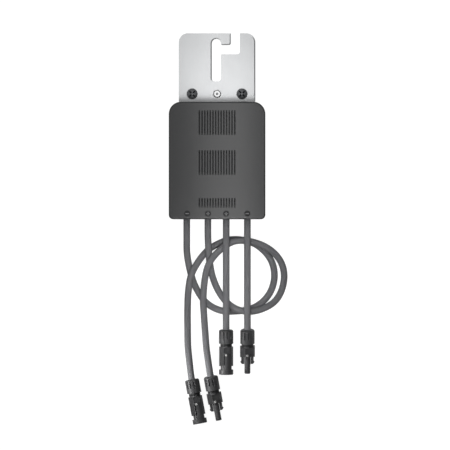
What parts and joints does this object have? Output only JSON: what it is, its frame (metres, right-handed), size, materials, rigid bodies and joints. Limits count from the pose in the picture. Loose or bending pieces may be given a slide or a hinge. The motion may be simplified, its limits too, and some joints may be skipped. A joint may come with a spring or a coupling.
{
  "type": "power optimizer",
  "caption": "Flat sealed solar power optimizer with a grooved front, a slotted metal mounting bracket, looped input cables, straight output cables and locking connectors.",
  "frame": {"origin": "on the surface under the middle of the housing and bracket together, cables left out", "axes": "+X right in the front view, +Y from the cable wall towards the bracket, +Z out of the grooved front face"},
  "size_m": [0.1587, 0.5239, 0.042],
  "materials": {
    "housing_plastic": "moulded",
    "cast_aluminium": "die cast",
    "seal_rubber": "moulded",
    "screw_steel": "blackened",
    "bracket_steel": "stamped",
    "rivet_aluminium": "formed",
    "board_laminate": "solder mask",
    "zinc_steel": "zinc plated",
    "ferrite": "sintered",
    "copper_wire": "enamelled",
    "capacitor_sleeve": "shrink sleeve",
    "chip_plastic": "moulded",
    "pad_silicone": "sheet",
    "terminal_brass": "machined",
    "cable_jacket": "extruded",
    "connector_plastic": "moulded",
    "gland_rubber": "moulded",
    "contact_tin": "tinned copper",
    "o_ring_rubber": "moulded"
  },
  "bodies": {
    "root": {"front_housing": "housing_plastic", "rear_cover": "cast_aluminium", "rear_gasket": "seal_rubber", "cover_screws": "screw_steel", "mounting_bracket": "bracket_steel", "bracket_screws": "screw_steel", "bracket_rivet": "rivet_aluminium", "circuit_board": "board_laminate", "board_screws": "zinc_steel", "inductor_core": "ferrite", "inductor_winding": "copper_wire", "input_capacitors": "capacitor_sleeve", "output_capacitors": "capacitor_sleeve", "power_transistors": "chip_plastic", "thermal_pad": "pad_silicone", "controller_chips": "chip_plastic", "cable_terminals": "terminal_brass", "input_negative_grommet": "seal_rubber", "input_negative_cable": "cable_jacket", "input_negative_nut": "connector_plastic", "input_negative_seal": "gland_rubber", "input_positive_grommet": "seal_rubber", "input_positive_cable": "cable_jacket", "input_positive_nut": "connector_plastic", "input_positive_seal": "gland_rubber", "output_positive_grommet": "seal_rubber", "output_positive_cable": "cable_jacket", "output_positive_nut": "connector_plastic", "output_positive_seal": "gland_rubber", "output_negative_grommet": "seal_rubber", "output_negative_cable": "cable_jacket", "output_negative_nut": "connector_plastic", "output_negative_seal": "gland_rubber", "input_negative_barrel": "connector_plastic", "input_negative_pin": "contact_tin", "input_positive_latch": "connector_plastic", "input_positive_socket": "contact_tin", "input_positive_sleeve": "connector_plastic", "input_positive_o_ring": "o_ring_rubber", "output_positive_barrel": "connector_plastic", "output_positive_pin": "contact_tin", "output_negative_latch": "connector_plastic", "output_negative_socket": "contact_tin", "output_negative_sleeve": "connector_plastic", "output_negative_o_ring": "o_ring_rubber"}
  },
  "joints": []
}
